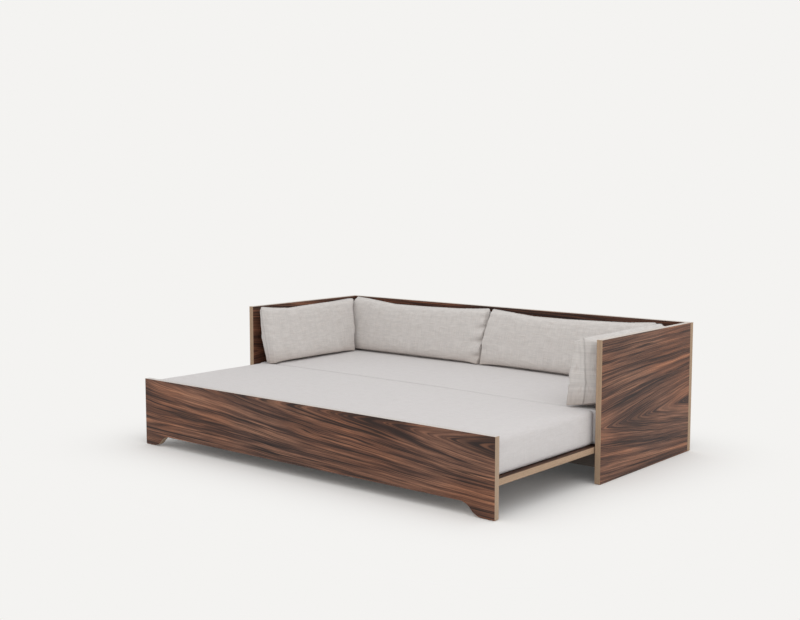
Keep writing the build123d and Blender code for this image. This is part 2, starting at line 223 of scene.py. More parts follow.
# Walnut veneer: growth rings of a log whose pith runs beside the board, cut flat, so that
# they show as long wavy lines with arched tips. Heights and lengths are in metres.
veneer = {
    "stops": [
        (0.395, screenColour(50, 36, 32)),
        (0.458, screenColour(80, 56, 47)),
        (0.50, screenColour(110, 76, 61)),
        (0.542, screenColour(136, 96, 76)),
        (0.605, screenColour(172, 123, 95)),
    ],
    "lineColour": screenColour(44, 33, 30),
    "glintColour": screenColour(176, 122, 92),
    "warm": (1.06, 0.97, 0.9),
    "cool": (0.93, 0.98, 1.04),
    "ringsPerMetre": 48,
    "calmest": 0.3,
    "slopeFarOff": 0.25,
    "toneShares": (0.54, 0.3, 0.16),
    "shownSpan": (0.32, 0.54),
    "fibreSpan": (0.2, 0.8, 0.84, 1.16),
    "poreSpan": (0.6, 0.72),
    "poreShare": 0.45,
    "castSpan": (0.35, 0.65),
}
# Lines lie where the noise passes a level: level, half width of core and of edge, share.
veneerLines = {
    "contour": (0.48, 0.008, 0.034, 0.95),
    "hair": (0.5, 0.0, 0.05, 0.5),
    "glint": (0.54, 0.0, 0.04, 0.26),
}
# The figure's noise, for noiseOver: six over the board (along, across) and six over the rings
# (across them, along the board).
figure = {
    "longSway": (1.4, 1.5, 1, 1, 0.5),
    "shortSway": (6, 8, 2, 1, 0.5),
    "shown": (2.4, 10, 6, 1, 0.5),
    "fibre": (10, 620, 7, 2, 0.5),
    "pores": (45, 1700, 8, 1, 0.5),
    "cast": (1.6, 3.5, 9, 1, 0.5),
    "broad": (0.5, 1.2, 3, 4, 0.66),
    "fine": (2.4, 2.2, 4, 3, 0.7),
    "finest": (7.5, 4.0, 11, 2, 0.6),
    "contour": (0.75, 0.6, 5, 1, 0.5),
    "hair": (2.6, 1.0, 12, 1, 0.5),
    "glint": (2.1, 1.3, 13, 1, 0.5),
}


# The veneer of one board. The cut says where the log's pith lies and how the lines wander.
def walnutFace(tree, along, across, cut):
    def overBoard(kind):
        return noiseOver(tree, figure[kind], along, across, cut["seed"])

    long = calc(tree, "SUBTRACT", overBoard("longSway"), 0.5)
    short = calc(tree, "SUBTRACT", overBoard("shortSway"), 0.5)
    wander = weighed(tree, (long, cut["sway"]), (short, cut["ripple"]))
    calm = spanned(tree, across, 0.0, cut["calmTo"], veneer["calmest"], 1.0)
    height = calc(tree, "ADD", across, calc(tree, "MULTIPLY", wander, calm))
    pith = calc(tree, "ADD", calc(tree, "MULTIPLY", along, cut["pithSlope"]), cut["pithHeight"])
    offPith = calc(tree, "SUBTRACT", height, pith)
    farOff = calc(tree, "ABSOLUTE", offPith)
    leaning = spanned(tree, farOff, *cut["straightens"], 1.0, veneer["slopeFarOff"])
    depthThere = calc(tree, "MULTIPLY", calc(tree, "MULTIPLY", along, cut["depthSlope"]), leaning)
    depthThere = calc(tree, "ADD", depthThere, cut["depth"])
    offSquared = calc(tree, "POWER", offPith, 2.0)
    blunt = calc(tree, "SQRT", calc(tree, "ADD", offSquared, cut["tip"] ** 2))
    radius = calc(tree, "ADD", depthThere, weighed(tree, (blunt, cut["near"]), (offSquared, cut["far"])))
    eyeAlong, eyeAcross, halfLength, halfWidth, eyeLift = cut["eye"]
    eyeX = calc(tree, "DIVIDE", calc(tree, "SUBTRACT", along, eyeAlong), halfLength)
    eyeY = calc(tree, "DIVIDE", calc(tree, "SUBTRACT", across, eyeAcross), halfWidth)
    eyeFar = calc(tree, "ADD", calc(tree, "POWER", eyeX, 2.0), calc(tree, "POWER", eyeY, 2.0))
    lift = calc(tree, "DIVIDE", eyeLift, calc(tree, "ADD", calc(tree, "POWER", eyeFar, 2.0), 1.0))
    ring = calc(tree, "MULTIPLY", calc(tree, "ADD", radius, lift), veneer["ringsPerMetre"])

    def overRings(kind):
        return noiseOver(tree, figure[kind], ring, along, cut["seed"])

    def lineOf(kind):
        level, core, edge, share = veneerLines[kind]
        off = calc(tree, "ABSOLUTE", calc(tree, "SUBTRACT", overRings(kind), level))
        return calc(tree, "MULTIPLY", spanned(tree, off, core, edge, 1.0, 0.0), share)

    grain = [overRings(kind) for kind in ("broad", "fine", "finest")]
    colour = colourRamp(tree, weighed(tree, *zip(grain, veneer["toneShares"])), veneer["stops"])
    shown = spanned(tree, overBoard("shown"), *veneer["shownSpan"])
    line = calc(tree, "MAXIMUM", calc(tree, "MULTIPLY", lineOf("contour"), shown), lineOf("hair"))
    colour = blendColour(tree, line, colour, veneer["lineColour"])
    colour = blendColour(tree, lineOf("glint"), colour, veneer["glintColour"])
    fibre = overBoard("fibre")
    pores = spanned(tree, overBoard("pores"), *veneer["poreSpan"])
    colour = shaded(tree, colour, spanned(tree, fibre, *veneer["fibreSpan"]))
    dark = calc(tree, "MULTIPLY", pores, veneer["poreShare"])
    colour = blendColour(tree, dark, colour, veneer["lineColour"])
    cast = spanned(tree, overBoard("cast"), *veneer["castSpan"])
    cast = blendColour(tree, cast, combine(tree, *veneer["cool"]), combine(tree, *veneer["warm"]))
    colour = tinted(tree, colour, cast)
    # A cut's tone darkens the whole board: painted shade on the back and left side, partly on the slats.
    if cut.get("tone"):
        colour = tinted(tree, colour, (*cut["tone"], 1))
    return colour, fibre, pores


boardLook = {
    "faceNormal": 0.72,
    # Painted highlight on upward-facing edges: how upward they face, and its share.
    "topNormal": 0.9,
    "topLightShare": 0.75,
    "skinShare": 0.6,
    "faceRoughness": (0.2, 0.8, 0.44, 0.6),
    "edgeRoughness": 0.7,
    "fibreRelief": 0.5,
    "relief": (0.35, 0.00025),
}


# The cut's axes name the object axis that runs along the grain, across it and through the board.
def walnutBoard(name, low, high, cut):
    material, tree, shader = newMaterial(name, Roughness=0.55, Specular_IOR_Level=0.22)
    parts = dict(zip("XYZ", separate(tree, objectPlace(tree))))
    along, across, through = [parts[axis] for axis in cut["axes"]]
    if cut.get("boardPitch"):
        board = calc(tree, "SNAP", calc(tree, "ADD", across, cut["boardPitch"] / 2), cut["boardPitch"])
        along = calc(tree, "ADD", along, calc(tree, "MULTIPLY", board, cut["boardShift"][0]))
        across = calc(tree, "ADD", across, calc(tree, "MULTIPLY", board, cut["boardShift"][1]))
    thickness = "XYZ".index(cut["axes"][2])
    depth = calc(tree, "SUBTRACT", through, low[thickness])
    face, fibre, pores = walnutFace(tree, along, across, cut)
    edge, glue = plyEdge(tree, along, across, depth)
    middle = (high[thickness] - low[thickness]) / 2
    offMiddle = calc(tree, "ABSOLUTE", calc(tree, "SUBTRACT", depth, middle))
    skin = calc(tree, "GREATER_THAN", offMiddle, middle - plyLook["skin"])
    skinColour = blendColour(tree, boardLook["skinShare"], face, plyLook["end"])
    edge = blendColour(tree, skin, edge, skinColour)
    normal = separate(tree, addNode(tree, "ShaderNodeNewGeometry", {}).outputs["True Normal"])
    facing = calc(tree, "ABSOLUTE", normal[thickness])
    onFace = calc(tree, "GREATER_THAN", facing, boardLook["faceNormal"])
    # Painted highlight: upward-facing edges blend towards the pale top colour.
    litTop = calc(tree, "GREATER_THAN", normal[2], boardLook["topNormal"])
    edge = blendColour(tree, calc(tree, "MULTIPLY", litTop, boardLook["topLightShare"]), edge, plyLook["top"])
    if cut.get("edgeTone"):
        edge = tinted(tree, edge, (*cut["edgeTone"], 1))
    plug(tree, shader.inputs["Base Color"], blendColour(tree, onFace, edge, face))
    faceRough = grey(tree, spanned(tree, fibre, *boardLook["faceRoughness"]))
    edgeRough = grey(tree, boardLook["edgeRoughness"])
    plug(tree, shader.inputs["Roughness"], blendColour(tree, onFace, edgeRough, faceRough))
    relief = calc(tree, "SUBTRACT", calc(tree, "MULTIPLY", fibre, boardLook["fibreRelief"]), pores)
    groove = calc(tree, "MULTIPLY", glue, -1.0)
    height = weighed(tree, (relief, onFace), (groove, calc(tree, "SUBTRACT", 1.0, onFace)))
    bumped(tree, shader, height, *boardLook["relief"])
    return material


# Each board's cut of the log: where the pith runs (height, slope), how deep it lies and how that
# changes along the board, how the rings close up away from it (tip, near, far), how the lines
# wander (sway, ripple, less below calmTo) and the eye that parts them (place along and across,
# half its length and width, lift).
boardCuts = {
    "front_panel": {
        "axes": "XZY", "seed": 3.1, "pithHeight": 0.3, "pithSlope": -0.025,
        "depth": 0.1, "depthSlope": -0.075, "straightens": (0.06, 0.26),
        "tip": 0.006, "near": 0.55, "far": 2.0, "sway": 0.05, "ripple": 0.008, "calmTo": 0.26,
        "eye": (-0.02, 0.215, 0.09, 0.022, 0.01), "edgeTone": (0.99, 1.03, 1.08),
    },
    "back_panel": {
        "axes": "XZY", "seed": 11.7, "pithHeight": 0.42, "pithSlope": 0.02,
        "depth": 0.12, "depthSlope": 0.06, "straightens": (0.1, 0.4),
        "tip": 0.006, "near": 0.6, "far": 2.4, "sway": 0.06, "ripple": 0.007, "calmTo": 0.3,
        # tone: painted shade, as this board's face lies inside the bed.
        "eye": (0.5, 0.3, 0.12, 0.03, 0.006), "tone": (0.5, 0.42, 0.38),
    },
    "side_panel_left": {
        "axes": "YZX", "seed": 23.4, "pithHeight": 0.36, "pithSlope": -0.03,
        "depth": 0.09, "depthSlope": 0.1, "straightens": (0.1, 0.35),
        "tip": 0.005, "near": 0.7, "far": 2.6, "sway": 0.03, "ripple": 0.005, "calmTo": 0.2,
        # tone: painted shade, as this board's face lies inside the bed.
        "eye": (0.2, 0.42, 0.1, 0.03, 0.004), "tone": (0.84, 0.78, 0.74),
    },
    "side_panel_right": {
        "axes": "YZX", "seed": 31.9, "pithHeight": 0.238, "pithSlope": 0.012,
        "depth": 0.12, "depthSlope": -0.13, "straightens": (0.1, 0.32),
        "tip": 0.004, "near": 0.72, "far": 2.4, "sway": 0.022, "ripple": 0.007, "calmTo": 0.2,
        "eye": (0.5, 0.45, 0.12, 0.03, 0.004),
    },
}
# All slats share one material, and each slat shows another part of the figure.
slatCut = {
    "axes": "YXZ", "seed": 47.2, "pithHeight": 0.02, "pithSlope": 0.02,
    "depth": 0.16, "depthSlope": 0.06, "straightens": (0.1, 0.3),
    "tip": 0.02, "near": 0.8, "far": 1.0, "sway": 0.08, "ripple": 0.015, "calmTo": 0.05,
    # tone: partly a darker veneer, partly painted shade under the mattress.
    "eye": (0.3, 0.03, 0.1, 0.03, 0.01), "tone": (0.42, 0.38, 0.36),
    "boardPitch": 0.119125, "boardShift": (7.3, 0.6),
}


def finishWalnut():
    for name, cut in boardCuts.items():
        low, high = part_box(name)
        giveMaterial(name, walnutBoard("walnut_" + name, low, high, cut))
    slats = [name for name in nodes if "_slat_" in name and "screws" not in name]
    low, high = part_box("moving_slat_1")
    material = walnutBoard("walnut_slats", low, high, slatCut)
    for name in slats:
        giveMaterial(name, material)
    print("walnut boards finished,", len(slats), "slats")


# Ply of the hidden battens and blocks, stained and greyed to the shade beneath: partly painted shade.
stainAndShadeLook = {
    "pale": screenColour(104, 95, 88),
    "dark": screenColour(84, 76, 70),
    "layer": screenColour(128, 118, 110),
    "streakScales": (6, 260, 1),
    "streakSpan": (0.3, 0.7),
    "faceNormal": 0.7,
    "relief": (0.3, 0.0003),
}


def stainAndShadePly():
    material, tree, shader = newMaterial("stain_and_shade_ply", Roughness=0.6)
    along, depth, across = separate(tree, objectPlace(tree))
    streak = fuzz(tree, stretched(tree, (along, across, depth), stainAndShadeLook["streakScales"]), 3, 0.6)
    share = spanned(tree, streak, *stainAndShadeLook["streakSpan"])
    face = blendColour(tree, share, stainAndShadeLook["pale"], stainAndShadeLook["dark"])
    edge = tinted(tree, plyEdge(tree, along, across, depth)[0], stainAndShadeLook["layer"])
    normal = separate(tree, addNode(tree, "ShaderNodeNewGeometry", {}).outputs["True Normal"])
    onFace = calc(tree, "GREATER_THAN", calc(tree, "ABSOLUTE", normal[1]), stainAndShadeLook["faceNormal"])
    plug(tree, shader.inputs["Base Color"], blendColour(tree, onFace, edge, face))
    bumped(tree, shader, streak, *stainAndShadeLook["relief"])
    return material


beechLook = {
    "pale": screenColour(222, 184, 140),
    "deep": screenColour(196, 152, 108),
    "fleck": screenColour(150, 108, 74),
    "grainScales": (700, 60, 700),
    "fleckScales": (1800, 300, 1800),
    "fleckSpan": (0.58, 0.7),
    "fleckShare": 0.5,
    "relief": (0.3, 0.0002),
}


def beechWood():
    material, tree, shader = newMaterial("beech", Roughness=0.55)
    place = objectPlace(tree)
    grain = fuzz(tree, vectorCalc(tree, "MULTIPLY", place, beechLook["grainScales"]), 2)
    fleck = fuzz(tree, vectorCalc(tree, "MULTIPLY", place, beechLook["fleckScales"]), 1)
    fleck = spanned(tree, fleck, *beechLook["fleckSpan"])
    fleck = calc(tree, "MULTIPLY", fleck, beechLook["fleckShare"])
    colour = blendColour(tree, grain, beechLook["pale"], beechLook["deep"])
    colour = blendColour(tree, fleck, colour, beechLook["fleck"])
    plug(tree, shader.inputs["Base Color"], colour)
    bumped(tree, shader, grain, *beechLook["relief"])
    return material


zincLook = {
    "pale": screenColour(205, 206, 203),
    "dark": screenColour(166, 168, 168),
    "spangleScales": (700, 700, 700),
    "roughness": (0.2, 0.8, 0.24, 0.42),
    "relief": (0.15, 0.0001),
}


def zincSteel():
    material, tree, shader = newMaterial("zinc_steel", Metallic=1.0)
    place = vectorCalc(tree, "MULTIPLY", objectPlace(tree), zincLook["spangleScales"])
    spangle = fuzz(tree, place, 3)
    colour = blendColour(tree, spangle, zincLook["pale"], zincLook["dark"])
    plug(tree, shader.inputs["Base Color"], colour)
    plug(tree, shader.inputs["Roughness"], spanned(tree, spangle, *zincLook["roughness"]))
    bumped(tree, shader, spangle, *zincLook["relief"])
    return material


# Plain moulded, rubbery and pressed finishes: two tones, grains per metre, roughness, relief.
plainLooks = {
    "glide_plastic": (screenColour(226, 224, 216), screenColour(214, 212, 204), 300, 0.38, 0.00008),
    "buffer_rubber": (screenColour(46, 45, 44), screenColour(33, 32, 32), 900, 0.8, 0.0001),
    "floor_felt": (screenColour(112, 101, 92), screenColour(74, 66, 60), 1400, 0.95, 0.0004),
}


def grainy(name):
    first, second, perMetre, roughness, relief = plainLooks[name]
    material, tree, shader = newMaterial(name, Roughness=roughness)
    place = vectorCalc(tree, "MULTIPLY", objectPlace(tree), (perMetre, perMetre, perMetre))
    grain = fuzz(tree, place, 3, 0.6)
    colour = blendColour(tree, spanned(tree, grain, 0.3, 0.7), first, second)
    plug(tree, shader.inputs["Base Color"], colour)
    bumped(tree, shader, grain, 0.5, relief)
    return material


def finishFittings():
    ply = stainAndShadePly()
    beech = beechWood()
    steel = zincSteel()
    felt = grainy("floor_felt")
    battens = ("front_rail", "rear_ledger", "front_cleat", "corner_block", "rail_foot", "stop_block")
    for name in nodes:
        if name.endswith(("_screws", "_bolts", "_nuts")):
            giveMaterial(name, steel)
        elif name.endswith("_dowels"):
            giveMaterial(name, beech)
        elif name.endswith("_pads"):
            giveMaterial(name, felt)
        elif name.startswith(battens):
            # The battens' colour is partly painted shade, matched to the shade under the bed.
            giveMaterial(name, ply)
    giveMaterial("glide_strip", grainy("glide_plastic"))
    giveMaterial("closing_buffers", grainy("buffer_rubber"))
    print("battens and fittings finished")


# Linen: a plain weave with thicker slub threads both ways and painted shade at seams and a
# cushion's foot. It follows the UV map "weave", which holds the flat cloth in metres.
linenLook = {
    "weft": (14, 330, 1, 1, 0.5),
    "warp": (330, 14, 2, 1, 0.5),
    "patches": (22, 75, 3, 3, 0.5),
    "patchShare": 0.35,
    "weftSlubs": (0.54, 0.72),
    "warpSlubs": (0.56, 0.74),
    "toneSpan": (0.34, 0.66),
    "gapSpan": (-1.0, -0.2, 0.93, 1.0),
    "paintedUndershadePower": 1.3,
    "weaveRelief": 0.5,
    "slubRelief": 0.9,
    "reliefDepth": 0.0004,
}


def linen(name, cloth):
    material, tree, shader = newMaterial(name, Roughness=0.9, Sheen_Weight=0.25, Sheen_Roughness=0.5)
    shader.inputs["Specular IOR Level"].default_value = 0.2
    flat = addNode(tree, "ShaderNodeUVMap", {}, uv_map="weave").outputs[0]
    x, y, _ = separate(tree, flat)
    weft = noiseOver(tree, linenLook["weft"], x, y)
    warp = noiseOver(tree, linenLook["warp"], x, y)
    weftSlubs = spanned(tree, weft, *linenLook["weftSlubs"])
    slubs = calc(tree, "MAXIMUM", weftSlubs, spanned(tree, warp, *linenLook["warpSlubs"]))
    patches = calc(tree, "SUBTRACT", noiseOver(tree, linenLook["patches"], x, y), 0.5)
    turns = 2 * math.pi / cloth["threadPitch"]
    overX = calc(tree, "SINE", calc(tree, "MULTIPLY", x, turns))
    overY = calc(tree, "SINE", calc(tree, "MULTIPLY", y, turns))
    weave = calc(tree, "MULTIPLY", overX, overY)
    tone = weighed(tree, (weft, 0.5), (warp, 0.5), (patches, linenLook["patchShare"]))
    contrast = cloth["contrast"]
    shade = spanned(tree, tone, *linenLook["toneSpan"], 1 - contrast, 1 + contrast)
    shade = calc(tree, "MULTIPLY", shade, spanned(tree, weave, *linenLook["gapSpan"]))
    # Painted shade along the seam: the crevice at a cushion's lip, the groove between mattresses.
    fromEnd, fromTop, _ = separate(tree, addNode(tree, "ShaderNodeUVMap", {}, uv_map="seam").outputs[0])
    off = calc(tree, "SUBTRACT", calc(tree, "MINIMUM", fromEnd, fromTop), cloth["seamFrom"])
    off = calc(tree, "ABSOLUTE", off)
    seam = spanned(tree, off, 0.0, cloth["seamWidth"], 1 - cloth["seamShade"], 1.0)
    shade = calc(tree, "MULTIPLY", shade, seam)
    colour = blendColour(tree, slubs, cloth["colour"], cloth["slub"])
    # Painted shade: the cushion cloth darkens and warms towards its foot, as under its belly.
    if cloth.get("paintedUndershade"):
        undershade = spanned(tree, y, 0.0, cloth["paintedUndershadeHeight"], 1.0, 0.0)
        undershade = calc(tree, "POWER", undershade, linenLook["paintedUndershadePower"])
        colour = blendColour(tree, undershade, colour, tinted(tree, colour, (*cloth["paintedUndershade"], 1)))
    plug(tree, shader.inputs["Base Color"], shaded(tree, colour, shade))
    height = weighed(tree, (weave, linenLook["weaveRelief"]), (slubs, linenLook["slubRelief"]))
    bumped(tree, shader, height, cloth["relief"], linenLook["reliefDepth"])
    return material


cushionCloth = {
    "colour": screenColour(209, 204, 200),
    "slub": screenColour(192, 185, 180),
    "threadPitch": 0.0022,
    "contrast": 0.1,
    "relief": 0.6,
    # Painted shade: the next three set the dark line in the crevice at the seam's lip.
    "seamShade": 0.26,
    "seamFrom": 0.002,
    "seamWidth": 0.004,
    # Painted shade towards the cushion's foot: its tint and the height it fades over.
    "paintedUndershade": (0.76, 0.7, 0.66),
    "paintedUndershadeHeight": 0.13,
}
mattressCloth = {
    "colour": screenColour(208, 204, 203),
    "slub": screenColour(199, 194, 192),
    "threadPitch": 0.0018,
    "contrast": 0.045,
    "relief": 0.4,
    # Painted shade: the next three set the dark line in the groove where the mattresses meet.
    "seamShade": 0.09,
    "seamFrom": 0.007,
    "seamWidth": 0.008,
}


def deselectAll():
    if bpy.context.object and bpy.context.object.mode != "OBJECT":
        bpy.ops.object.mode_set(mode="OBJECT")
    bpy.ops.object.select_all(action="DESELECT")


def applyModifier(piece, kind, **settings):
    modifier = piece.modifiers.new(kind.title(), kind)
    for key, value in settings.items():
        setattr(modifier, key, value)
    bpy.context.view_layer.objects.active = piece
    bpy.ops.object.modifier_apply(modifier=modifier.name)


# A mattress: a foam block in a linen cover, with rounded edges and a slightly full face. Waves
# are noise over it, and a power says how close to its side, top or end a shape is felt.
mattress = {
    "cornerRadius": 0.034,
    "uprightShare": 0.06,
    "topRadius": 0.015,
    "seamGap": 0.0004,
    "endDrop": 0.005,
    "sag": 0.008,
    "sagFrom": 0.1,
    "sagLength": 0.7,
    "sagEdge": -0.06,
    "sagReach": 0.2,
    "endRadius": 0.034,
    "bottomRadius": 0.018,
    "edgeCuts": 6,
    "cell": 0.045,
    "sideBulge": 0.0035,
    "crown": 0.002,
    "waveScales": (3.1, 11),
    "smallWaves": 0.4,
    "unevenness": 0.0011,
    "topWaves": 1.2,
    "sidePower": 30,
    "topPower": 12,
    "endPower": 36,
}


# Cuts the whole piece across one axis, closely near both ends and evenly between.
def cutAcross(axis, low, high):
    near = mattress["cornerRadius"]
    steps = mattress["edgeCuts"]
    count = max(1, round((high - low - 2 * near) / mattress["cell"]))
    places = [low + near * step / steps for step in range(1, steps)]
    places += [low + near + (high - low - 2 * near) * step / count for step in range(count + 1)]
    places += [high - near * step / steps for step in range(1, steps)]
    normal = Vector([float(i == axis) for i in range(3)])
    for value in places:
        bpy.ops.mesh.select_all(action="SELECT")
        bpy.ops.mesh.bisect(plane_co=normal * value, plane_no=normal)


def makeMattress(name, node, cloth):
    low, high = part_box(node)
    low.y += mattress["seamGap"]
    high.y -= mattress["seamGap"]
    deselectAll()
    bpy.ops.mesh.primitive_cube_add(size=1, location=(low + high) / 2, scale=high - low)
    piece = bpy.context.object
    piece.name = name
    bpy.ops.object.transform_apply(location=True, rotation=True, scale=True)
    bpy.ops.object.mode_set(mode="EDIT")
    for axis in range(3):
        cutAcross(axis, low[axis], high[axis])
    bpy.ops.mesh.select_all(action="SELECT")
    bpy.ops.uv.cube_project(cube_size=1, scale_to_bounds=False, correct_aspect=False)
    bpy.ops.object.mode_set(mode="OBJECT")
    piece.data.uv_layers[0].name = "weave"
    piece.data.uv_layers.new(name="seam")
    for loop, corner in zip(piece.data.loops, piece.data.uv_layers["seam"].uv):
        y = piece.data.vertices[loop.vertex_index].co.y
        corner.vector = (min(y - low.y, high.y - y), 1)
    for vertex in piece.data.vertices:
        vertex.co = softened(rounded(vertex.co, low, high), low, high)
    bpy.ops.object.shade_smooth()
    piece.data.materials.append(cloth)
    return piece


# Moves a point of the square block to the block with rounded upright and level edges.
def rounded(place, low, high):
    corner = mattress["cornerRadius"]
    core = Vector([min(max(place[i], low[i] + corner), high[i] - corner) for i in range(2)])
    out = Vector(place[:2]) - core
    reach = max(abs(out.x), abs(out.y))
    side = out.normalized() if reach > 0 else out
    inward = corner - reach
    top = place.z > (low.z + high.z) / 2
    endShare = side.x ** 2
    topRadius = mattress["topRadius"] + (mattress["endRadius"] - mattress["topRadius"]) * endShare
    radius = topRadius if top else mattress["bottomRadius"]
    height = place.z - (high.z - radius) if top else (low.z + radius) - place.z
    across = radius - inward
    shift = 0
    if across > 0 and height > 0:
        turned = Vector((across, height)).normalized() * max(across, height)
        shift = turned.x - across
        height = turned.y
    z = (high.z - radius + height) if top else (low.z + radius - height)
    square = out * ((reach + shift) / reach) if reach > 0 else out
    flat = core + square.lerp(side * (reach + shift), mattress["uprightShare"])
    return Vector((flat.x, flat.y, z))


# Lets the sides bulge, crowns the top, drops its ends and gives way under the cushions.
def softened(place, low, high):
    middle = (low + high) / 2
    half = (high - low) / 2
    share = [(place[i] - middle[i]) / half[i] for i in range(3)]
    full = [max(0, 1 - value * value) for value in share]
    large, small = mattress["waveScales"]
    wave = noise.noise(place * large) + noise.noise(place * small) * mattress["smallWaves"]
    wave = wave * mattress["unevenness"]
    side = abs(share[0]) ** mattress["sidePower"]
    bulge = mattress["sideBulge"] * full[2] * full[1] ** 0.5 + wave * full[2]
    x = place.x + math.copysign(side, share[0]) * bulge
    top = max(0, share[2]) ** mattress["topPower"]
    crown = mattress["crown"] * (full[0] * full[1]) ** 0.5
    z = place.z + top * (crown - abs(wave) * mattress["topWaves"])
    z -= top * mattress["endDrop"] * abs(share[0]) ** mattress["endPower"]
    z -= top * seatSag(place.x, place.y)
    return Vector((x, place.y, z))


# How far the seat gives way under the cushions at its right end.
def seatSag(x, y):
    share = min(1, max(0, (x - mattress["sagFrom"]) / mattress["sagLength"]))
    ahead = min(0, y - mattress["sagEdge"]) / mattress["sagReach"]
    return mattress["sag"] * share * share * (3 - 2 * share) * math.exp(-ahead * ahead)


def makeMattresses():
    cloth = linen("mattress_cloth", mattressCloth)
    for place, body in (("front", "front_mattress"), ("rear", "base")):
        cover = f"{place}_mattress_cover"
        piece = makeMattress(f"{place}_mattress", cover, cloth)
        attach(piece, body)
        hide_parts(cover, f"{place}_mattress_core")
    print("mattresses made")


# The cushions: two flat cloths sewn together all round and blown up by a cloth simulation
# in a frame of their own, then stood on the seat, leant on the wall and let sag.
pillow = {
    "cell": 0.0085,
    "sewingSlack": (0.01, 0.02),
    "startBulge": 0.045,
    "bulgePower": 2.5,
    "bulgeCurve": 0.6,
    "cornerTaper": 0.06,
    "taperPower": 8,
    "pressure": 3.0,
    "frames": 10,
    "lipHeight": 0.005,
    "lipThickness": 0.0034,
    "rimShare": 0.8,
}
# Each cushion: how far its seam stands out from the wall and how far its front swells out of the
# seam (foot, top), how far its rear swells to the wall, how far the seam drops below its ears
# along the top (place from -1 to 1, drop), how far each end reaches past its box (foot, top,
# curve), how much fuller the ends are, and its creases (end, height share, depth, reach).
# footLift raises one end's foot at the wall (end, height, reach) and recede draws the rear of
# the first end in.
cushions = {
    "back_cushion_left": {
        "wall": "back", "seed": 5.0, "flip": 1,
        "seam": (0.103, 0.028), "full": (0.054, 0.052), "rear": 0.055,
        "top": [(-1, 0.0), (-0.79, 0.006), (-0.56, 0.016), (-0.34, 0.025), (0.14, 0.024), (0.58, 0.02),
                (0.86, 0.013), (1, 0.007)],
        "ends": ((0.0, -0.012, 3.0), (0.006, 0.008, 1.0)), "endPower": 0.4,
        "creases": [(1, 0.65, 0.032, 0.03), (1, 0.42, 0.046, 0.03), (1, 0.16, 0.026, 0.03),
                    (1, 0.82, 0.012, 0.03), (-1, 0.5, 0.006, 0.04)],
    },
    "back_cushion_right": {
        "wall": "back", "seed": 17.0, "flip": -1,
        "seam": (0.105, 0.028), "full": (0.054, 0.052), "rear": 0.055,
        "top": [(-1, 0.007), (-0.9, 0.011), (-0.7, 0.018), (-0.43, 0.028), (0.0, 0.028), (0.36, 0.024),
                (0.7, 0.02), (0.93, 0.011), (1, 0.009)],
        "ends": ((0.012, -0.006, 1.0), (0.0, 0.01, 2.0)), "endPower": 0.4,
        "creases": [(-1, 0.86, 0.006, 0.03), (-1, 0.3, 0.004, 0.04), (1, 0.4, 0.008, 0.05)],
    },
    "arm_cushion_left": {
        "wall": "left", "seed": 29.0, "flip": 1,
        "seam": (0.112, 0.05), "full": (0.064, 0.042), "rear": 0.04,
        "top": [(-1, -0.004), (-0.72, 0.008), (-0.38, 0.0175), (-0.02, 0.0135), (0.7, 0.009), (0.9, 0.005),
                (1, 0.001)],
        "ends": ((0.0, 0.0, 1.0), (-0.005, 0.086, 1.5)), "endPower": 0.35,
        "creases": [(-1, 0.86, 0.006, 0.025), (-1, 0.7, 0.012, 0.035), (-1, 0.56, 0.005, 0.045)],
    },
    "arm_cushion_right": {
        "wall": "right", "seed": 41.0, "flip": -1,
        "seam": (0.09, 0.102), "full": (0.09, 0.042), "rear": 0.14,
        "top": [(-1, 0.0), (-0.7, 0.003), (-0.2, 0.005), (0.5, 0.003), (0.9, 0.001), (1, 0.0)],
        "ends": ((0.0, 0.0, 1.0), (0.0, 0.07, 2.5)), "endPower": 0.6,
        "footLift": (-1, 0.022, 0.09), "recede": 0.045,
        "creases": [(-1, 0.36, 0.006, 0.06), (-1, 0.82, 0.004, 0.03), (1, 0.5, 0.008, 0.04)],
    },
}
# How the cushions lean. A reach is measured from an end, a depth from the wall and a height from
# the seat, in metres. The undercut is placed by shares of the cushion's depth.
lean = {
    "sink": 0.024,
    "fullPower": 1.6,
    "middlePower": 0.75,
    "footPower": 0.15,
    "endReach": 0.09,
    "endsCurve": 12,
    "tuck": 0.012,
    "tuckDepth": 0.1,
    "undercut": 0.012,
    "undercutFrom": 0.62,
    "undercutOver": 0.24,
    "hollowShare": 0.85,
    "hollowReach": 0.05,
    "footRound": 0.016,
    "footHeight": 0.05,
    "footBlend": 2,
    "liftDepth": 0.095,
    "liftHeight": 0.12,
    "earRadius": 0.013,
    "wallSoftness": 0.012,
    "footSoftness": 0.01,
    "creaseWidth": 0.011,
    "creaseWidens": 0.22,
    "creaseSlants": 0.25,
    "creaseBlend": 4,
    "wrinkle": 0.0025,
    "wrinkleScales": (5, 3),
    "wrinkleSeed": 9,
    "wrinkleBlend": 3,
    "pucker": 0.004,
    "puckerScales": (3, 12),
    "puckerReach": 0.035,
    "sagHeight": 0.2,
    "recedeReach": 0.08,
    "recedeDepth": 0.05,
}


